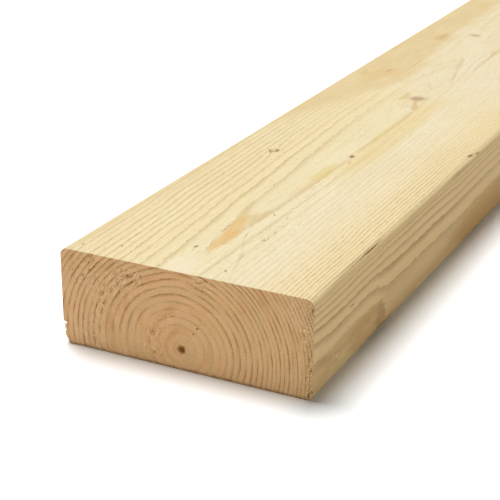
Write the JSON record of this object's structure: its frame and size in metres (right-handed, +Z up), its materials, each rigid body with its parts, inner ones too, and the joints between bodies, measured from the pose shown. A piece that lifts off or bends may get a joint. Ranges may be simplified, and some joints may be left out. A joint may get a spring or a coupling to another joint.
{
  "type": "softwood timber plank",
  "caption": "Straight length of planed structural softwood with eased long edges and square sawn ends, for joists, studs and framing.",
  "frame": {"origin": "middle of the underside, which lies on the floor", "axes": "+X across the width, +Y along the length away from the end that shows, +Z up through the thickness"},
  "size_m": [0.125, 1.8, 0.047],
  "materials": {
    "spruce": "planed, unfinished"
  },
  "bodies": {
    "root": {"plank": "spruce"}
  },
  "joints": []
}
